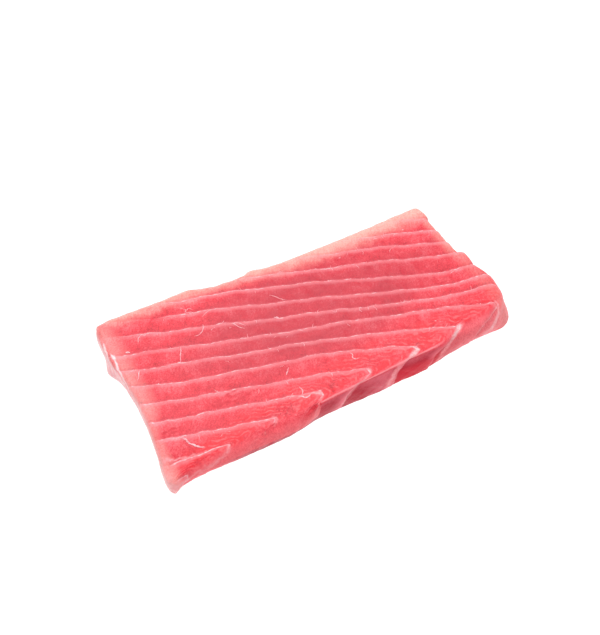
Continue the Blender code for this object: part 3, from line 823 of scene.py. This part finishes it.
def rims(m, colour):
    """The paler rims, partly paler flesh and partly painted light, and the pale left wall, with the back
    rim's place and strength.
    """
    end_x, reach = (m.ramp(m.y, *LEFT_CORNER, *values) for values in (LEFT_END_AT, LEFT_REACH))
    from_end = m.plus_noise(m.minus(m.x, end_x), m.mottle, 6.0, clamp=False)
    from_end = m.plus_noise(from_end, m.fibre, 5.0, clamp=False)
    left_rim = m.maths("SUBTRACT", 0.7, m.maths("DIVIDE", from_end, reach), clamp=True)
    left_rim = m.mix_number(m.ramp(m.y, *LEFT_BACK), left_rim, m.ramp(from_end, *LEFT_BACK_RIM))
    back_at = m.plus_noise(m.minus(m.y, m.ramp(m.x, *BACK_FROM)), m.mottle, 8, clamp=False)
    lower = m.ramp(m.plus(m.down, m.times(m.breaks, 6)), 7, 13, 1, 0.5)
    back_rim = m.times(m.ramp(back_at, *BACK_RIM), lower)
    from_right = m.plus_noise(m.minus(RIGHT_END_AT, m.x), m.mottle, 5.0, clamp=False)
    right_rim = m.times(m.ramp(from_right, *RIGHT_RIM), m.ramp(m.y, *RIGHT_RIM_Y))
    rim = m.maths("MAXIMUM", m.maths("MAXIMUM", left_rim, back_rim), right_rim)
    rim = m.times(rim, m.ramp(m.plus(m.fibre, m.grain), 0.75, 1.25, 0.72, 1.18))
    # the rims' paler colour: partly paler flesh and partly painted glow through the thin edges and painted
    # highlights
    colour = m.mix(rim, colour, m.mix(left_rim, RIM_SALMON, RIM_PALE))
    wall = m.times(m.ramp(m.x, *WALL_X), m.ramp(m.down, 1.5, 6), m.ramp(m.y, *WALL_Y))
    return m.mix(m.times(wall, 0.85), colour, WALL_PALE), back_at, back_rim


# Soft lines along the septa: how far past the septum, the fall on both sides, the colour. The first is a pale
# glow in front of the septum, partly paler flesh and partly painted light on the step's edge; the second is
# painted shade behind the septum, where the step hides the band behind it.
SEPTUM_GLOW_AND_SHADE = (
    (0.9, (0.2, 2.4, 0.34, 0), SEPTUM_PINK),
    (-0.9, (0.2, 1.3, 0.24, 0), FLESH_DULL),
)
LINE_AT = 0.2  # the thin line's middle
LOBE_SEPTA = (2, 5, 1, 0)  # where they end past the fold, at the lobe and on the side
SIDE_SEPTA = (3, 9, 1, 0.4)
LOBE_TO_SIDE = (-40, 20)
SEPTA_START = (-102.5, -98.5)  # where they fade out at the left end
BACK_LEFT_Y = (24, 33)  # and at the back of it
BACK_LEFT_X = (-72, -50, 1, 0)


def septa(m, colour, back_at, back_rim):
    """Septa: a thin pale line, a soft glow in front of it, partly paler flesh and partly painted light on the
    step's edge, and a darker line behind, painted shade where the step hides the band behind it.
    """
    from_septum = m.times(m.minus(m.band, m.maths("ROUND", m.band)), m.carried("band_width"))
    on_lobe, on_side = m.ramp(m.past, *LOBE_SEPTA), m.ramp(m.past, *SIDE_SEPTA)
    shown = m.mix_number(m.ramp(m.x, *LOBE_TO_SIDE), on_lobe, on_side)
    down_end = m.times(m.ramp(m.down, 0.5, 4.5), m.rest(m.front))
    back_left = m.times(m.ramp(back_at, *BACK_LEFT_Y), m.ramp(m.x, *BACK_LEFT_X))
    fade = m.times(m.rest(m.times(back_rim, 0.8)), m.rest(down_end), m.rest(back_left))
    fade = m.times(fade, m.ramp(m.x, *SEPTA_START))
    for middle, fall, tint in SEPTUM_GLOW_AND_SHADE:
        soft = m.times(m.ramp(m.off(from_septum, middle), *fall), fade, shown)
        colour = m.mix(soft, colour, tint)
    past_line = m.minus(m.off(from_septum, LINE_AT), m.ramp(m.breaks, 0.3, 0.72, 0.15, 0.42))
    line = m.times(m.ramp(past_line, -0.15, 0.3, 1, 0), shown)
    # whiter patches along the line: partly whiter tissue and partly painted glints on the septa edges
    pale = m.mix(m.ramp(m.breaks, 0.48, 0.66, 0, 0.9), SEPTUM_PINK, SEPTUM_WHITE)
    return m.mix(m.times(line, fade), colour, pale), line


def strands(m, colour):
    """Dark streaks and nicks, and the pale strands over them."""
    nick = m.times(m.carried("nick"), m.ramp(m.breaks, 0.3, 0.7, 0.5, 1.2))
    colour = m.mix(m.ramp(nick, 0.1, 1), colour, NICK_RED)
    rough = m.noise(m.spot, 0.9, detail=4.0, roughness=0.7)
    strand = m.times(m.carried("strand"), m.ramp(rough, 0.3, 0.65, 0.75, 1.15))
    pale = m.mix(m.ramp(strand, 0.4, 0.95), STRAND_PINK, STRAND_WHITE)
    return m.mix(m.ramp(strand, 0.04, 0.8), colour, pale), strand


def flesh_material():
    """Raw red muscle: banded, mottled, finely fibred, with pale septa, strands and thinner rims, with painted
    light and shade on the bands and the front side and a painted glow on the rims.
    """
    m = FleshNodes("raw_flesh")
    colour, side = front_side(m, growth_arcs(m, flesh_tone(m)))
    colour, back_at, back_rim = rims(m, colour)
    colour, line = septa(m, colour, back_at, back_rim)
    colour, strand = strands(m, colour)
    fine = m.noise(m.place(turn=FIBRE_TURN, stretch=(0.5, 1.3, 1.3)), 1.4, roughness=0.7)
    height = m.times(fine, 0.6)
    for part, amount in ((line, 0.35), (m.grain, 0.9), (strand, 0.5)):
        height = m.plus(height, m.times(part, amount))
    bump = m.add("Bump", {"Strength": 0.4, "Distance": 0.3 * MM, "Height": height})
    m.feed(m.shader, {
        "Base Color": colour,
        "Roughness": 0.42,
        "Specular IOR Level": m.ramp(side, 0, 0.8, 0.34, 0.1),
        "Subsurface Weight": 0.15,
        "Subsurface Radius": (1.0, 0.28, 0.22),
        "Subsurface Scale": MM,
        "Normal": bump.outputs[0],
    })
    return m.material


def tissue_material():
    """White connective tissue: thin, moist and a little see-through."""
    m = Nodes("white_tissue")
    cloud = m.noise(m.place(), 0.9)
    m.feed(m.shader, {
        "Base Color": m.mix(m.ramp(cloud, 0.3, 0.7), TISSUE_PINK, TISSUE_WHITE),
        "Roughness": 0.35,
        "Subsurface Weight": 0.3,
        "Subsurface Radius": (1.0, 0.5, 0.45),
        "Subsurface Scale": MM,
    })
    return m.material


# Threads of connective tissue on the top face: X, Y and the width in mm
THREADS = (
    ((-93.6, -35, 0.4), (-91.6, -35.9, 0.9), (-90, -38.2, 0.8), (-89.6, -40.2, 0.7), (-88, -42.3, 0.9),
     (-85.6, -44.5, 1.1), (-83.4, -45.6, 0.5)),
    ((-92.4, -35.6, 0.5), (-90.2, -35.8, 0.7), (-87.4, -36.4, 0.4)),
    ((-72.3, 5.8, 0.5), (-71, 6.8, 0.4), (-69.8, 9.4, 0.35), (-68, 12.4, 0.35), (-66.7, 15.2, 0.25)),
    ((-74, 5.8, 0.5), (-72.4, 6.2, 1), (-71.2, 5.9, 0.9), (-69.2, 5, 0.4)),
    ((-91, 12, 0.35), (-92.6, 10.4, 0.5), (-93.8, 8.2, 0.4), (-95.2, 6.2, 0.25)),
    ((-93.2, 25.8, 0.6), (-92, 25.6, 0.9), (-90.9, 25, 0.6)),
    ((-82.6, 31.4, 0.3), (-81.2, 32.5, 0.4), (-79.6, 31.2, 0.35), (-77.6, 32.3, 0.3), (-75.2, 30.8, 0.3)),
    ((-84.6, 28.6, 0.25), (-83.4, 31.2, 0.35), (-82.2, 31.6, 0.4)),
    ((-55.6, 38.4, 0.25), (-53.8, 36.6, 0.3), (-54.2, 34.6, 0.4), (-52.2, 33.4, 0.35), (-50.2, 31.8, 0.3)),
    ((-54.8, 34.8, 0.3), (-52, 36.2, 0.3), (-50.4, 34.6, 0.2)),
    ((-50.2, 22.6, 0.3), (-50.9, 20.6, 0.4), (-52.6, 18.6, 0.4), (-55.2, 17.4, 0.35), (-57.6, 17.8, 0.2)),
    ((-48, 27.4, 0.25), (-45, 28.8, 0.3), (-42, 29.3, 0.4), (-38.2, 28.2, 0.3), (-35, 26.4, 0.25)),
    ((-37.4, 16.4, 0.35), (-35.8, 14.6, 0.4), (-34.6, 11.8, 0.3), (-32.4, 9.4, 0.2)),
    ((-36.4, 15.4, 0.25), (-33.8, 14.2, 0.3), (-31.2, 11, 0.2)),
    ((-10.4, 23.2, 0.25), (-8.4, 21.6, 0.3), (-6.2, 18.4, 0.35), (-4, 16, 0.2)),
    ((-15.4, 8.8, 0.4), (-14, 8.2, 0.7), (-13, 6.8, 0.4)),
    ((-28.6, -28, 0.3), (-27.2, -26.6, 0.5), (-25.2, -24.4, 0.3)),
    ((-30.2, -42.8, 0.4), (-28.6, -43.4, 0.6), (-27.2, -45.2, 0.7), (-25.4, -45.4, 0.5), (-23.6, -44.4, 0.3)),
    ((-27.8, -44.4, 0.5), (-27.4, -42.4, 0.4), (-26.2, -40.4, 0.5), (-26.6, -37.8, 0.3)),
    ((6.8, -31.8, 0.35), (7.4, -33.4, 0.4), (6.4, -35, 0.4), (7.2, -36.6, 0.5), (9, -36.8, 0.3)),
    ((20.6, 27.9, 0.3), (22.8, 26.2, 0.4), (25.3, 24.5, 0.5), (29.6, 23.4, 0.3), (34.8, 22.6, 0.3)),
    ((35.8, 28.1, 0.4), (36.3, 27.9, 0.6), (36.8, 27.7, 0.4)),
    ((22, 16.8, 0.4), (22.4, 16.6, 0.6), (22.9, 16.4, 0.4)),
    ((77.5, 28.8, 0.4), (78, 28.6, 0.7), (78.5, 28.4, 0.4)),
    ((56.6, -35.3, 0.4), (57, -35.5, 0.6), (57.5, -35.7, 0.4)),
)
THREAD_STEP = 0.4
THREAD_WAVER = 0.07
THREAD_SIDES = 8
THREAD_LIFT = 0.02  # how far above the flesh a thread's middle lies
THREAD_HALF = 0.65  # half a thread's width, for each mm of the width listed
THREAD_SWELL = (0.75, 1.15)
THREAD_RISE = 0.4  # half its height, for each mm of that
THREAD_MOST_RISE = 0.16
THREAD_TAPER = (0.08, 0.92)

# Finer, shorter wisps that the seed scatters, most of them along the septa
WISPS = 110
WISP_X = (-96, 88)
WISP_LENGTH = (1.2, 4.6)
WISP_WIDTH = (0.14, 0.30)
WISP_SPREAD = 2.2  # how far from its septum a wisp lies
WISP_START = 0.8
WISP_TURN = 70.0  # degrees from the X axis that most wisps run at
WISP_TURN_SPREAD = 60.0
WISP_BACK_Y = 40.0  # none lie further back than this at the left end
WISP_BACK_SLANT = 0.03
TUFTS = 60  # small tufts right on the septa
TUFT_LENGTH = (0.5, 1.6)
TUFT_WIDTH = (0.3, 0.7)
TUFT_TURN_SPREAD = 0.35  # in radians
WISP_BEND = 0.5  # in radians


def thread_path(knots):
    """A thread's smooth course through its places, evenly spaced and wavering a little, with its widths."""
    knots = np.array(knots)
    ends = np.vstack([2.0 * knots[0] - knots[1], knots, 2.0 * knots[-1] - knots[-2]])
    shares = np.linspace(0.0, 1.0, 8, endpoint=False)[None, :, None]
    curve = spline(ends[:-3, None], ends[1:-2, None], ends[2:-1, None], ends[3:, None], shares)
    course = np.vstack([curve.reshape(-1, 3), knots[-1:]])
    along = np.concatenate([[0.0], np.cumsum(np.hypot(*np.diff(course[:, :2], axis=0).T))])
    count = max(4, int(np.ceil(along[-1] / THREAD_STEP)) + 1)
    at = np.linspace(0.0, along[-1], count)
    path = np.column_stack([np.interp(at, along, column) for column in course.T])
    path[1:-1, :2] += rng.normal(0.0, THREAD_WAVER, (count - 2, 2))
    return path


def scattered_wisps():
    """Places of the finer wisps: short curved hairs near the septa and small tufts on them."""
    wisps = []
    for number in range(WISPS + TUFTS):
        x = rng.uniform(*WISP_X)
        heights = septum_heights(np.array([x]))[:, 0]
        edge = float(fold_line(np.array([x]))[0]) + 1.0
        back = WISP_BACK_Y - WISP_BACK_SLANT * (x - WISP_X[0])
        within = [y for y in heights if edge < y < back]
        y = within[rng.integers(len(within))]
        if number < WISPS:
            y -= abs(rng.normal(0.0, WISP_SPREAD)) - WISP_START
            turn = np.radians(rng.normal(WISP_TURN, WISP_TURN_SPREAD))
            length, width = rng.uniform(*WISP_LENGTH), rng.uniform(*WISP_WIDTH)
        else:
            turn = rng.normal(0.0, TUFT_TURN_SPREAD)
            length, width = rng.uniform(*TUFT_LENGTH), rng.uniform(*TUFT_WIDTH)
        bend = rng.normal(0.0, WISP_BEND)
        knots = []
        for share in (0.0, 0.35, 0.7, 1.0):
            swing = turn + bend * (share - 0.5)
            ahead = (share - 0.5) * length
            thin = width * (1.0 - 0.5 * abs(2.0 * share - 1.0))
            knots.append((x + ahead * np.cos(swing), y + ahead * np.sin(swing), thin))
        if min(knot[1] for knot in knots) > edge:
            wisps.append(tuple(knots))
    return wisps


def threads_piece():
    """All threads as one mesh: flattened tubes that taper at their ends and lie in the surface."""
    points, faces = [], []
    around = 2.0 * np.pi * np.arange(THREAD_SIDES) / THREAD_SIDES
    for knots in (*THREADS, *scattered_wisps()):
        path = thread_path(knots)
        middle = surface_height(*path[:, :2].T) + THREAD_LIFT
        tangent = np.gradient(path[:, :2], axis=0)
        tangent /= np.linalg.norm(tangent, axis=1, keepdims=True)
        across = np.column_stack([-tangent[:, 1], tangent[:, 0]])
        taper = np.sin(np.pi * np.linspace(*THREAD_TAPER, len(path))) ** 0.5
        half = THREAD_HALF * path[:, 2] * taper * rng.uniform(*THREAD_SWELL, len(path))
        start = len(points)
        for centre, height, side, reach in zip(path[:, :2], middle, across, half):
            rise = min(THREAD_RISE * reach, THREAD_MOST_RISE)
            for turn in around:
                flat = centre + side * reach * np.cos(turn) - CENTRE
                points.append((*flat, height + rise * np.sin(turn)))
        for ring in range(start, len(points) - THREAD_SIDES, THREAD_SIDES):
            faces.extend(strip(ring, ring + THREAD_SIDES, THREAD_SIDES))
        faces.append([start + k for k in reversed(range(THREAD_SIDES))])
        faces.append([len(points) - THREAD_SIDES + k for k in range(THREAD_SIDES)])
    return add_mesh("white_threads", points, faces)


FLOOR_HALF = 1600.0
FLOOR_DROP = 0.1  # how far below the block the floor lies
FLOOR_GREY = 0.12  # dim, so that no pink shows on it, and white by its own glow
FLOOR_GLOW = 1.1
SKY_STRENGTH = 0.52
LAMP_AT = Vector((50.0, 220.0, 900.0)) * MM
LAMP_SIZE = 0.9
LAMP_POWER = 9.0
CAMERA_AT = Vector((-203.48, -349.40, 501.6)) * MM
CAMERA_AIM = Vector((6.66, 19.12, -4.0)) * MM
CAMERA_LENS = 68.03
WHITE = (1.0, 1.0, 1.0, 1.0)


def put(made, place, aim):
    """Puts a lamp or camera at its place and turns it to what it is aimed at."""
    made.location = place
    made.rotation_euler = (aim - place).to_track_quat("-Z", "Y").to_euler()


def studio():
    """A white floor, a bright even sky and one large soft lamp overhead."""
    corners = ((-1, -1), (1, -1), (1, 1), (-1, 1))
    points = [(x * FLOOR_HALF, y * FLOOR_HALF, -FLOOR_DROP) for x, y in corners]
    floor = add_mesh("floor", points, [(0, 1, 2, 3)])
    paper = Nodes("white_floor")
    paper.feed(paper.shader, {
        "Base Color": (FLOOR_GREY, FLOOR_GREY, FLOOR_GREY, 1.0),
        "Roughness": 0.9,
        "Specular IOR Level": 0.1,
        "Emission Color": WHITE,
        "Emission Strength": FLOOR_GLOW,
    })
    floor.data.materials.append(paper.material)

    world = bpy.data.worlds.new("studio")
    world.use_nodes = True
    sky = world.node_tree.nodes["Background"]
    sky.inputs["Color"].default_value = WHITE
    sky.inputs["Strength"].default_value = SKY_STRENGTH
    bpy.context.scene.world = world

    lamp = add_object("softbox", bpy.data.lights.new("softbox", "AREA"))
    lamp.data.shape = "SQUARE"
    lamp.data.size = LAMP_SIZE
    lamp.data.energy = LAMP_POWER
    put(lamp, LAMP_AT, Vector((0.0, 0.0, 0.0)))


def camera():
    """The photograph's view: from the front left and well above."""
    made = add_object("camera", bpy.data.cameras.new("camera"))
    put(made, CAMERA_AT, CAMERA_AIM)
    made.data.lens = CAMERA_LENS
    made.data.clip_start = 0.01
    bpy.context.scene.camera = made


camera()
studio()
bpy.context.scene.view_settings.view_transform = "Standard"

flesh = flesh_piece()
flesh.data.materials.append(flesh_material())
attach(flesh, "root")
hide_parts("tuna_block")

threads = threads_piece()
threads.data.materials.append(tissue_material())
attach(threads, "root")
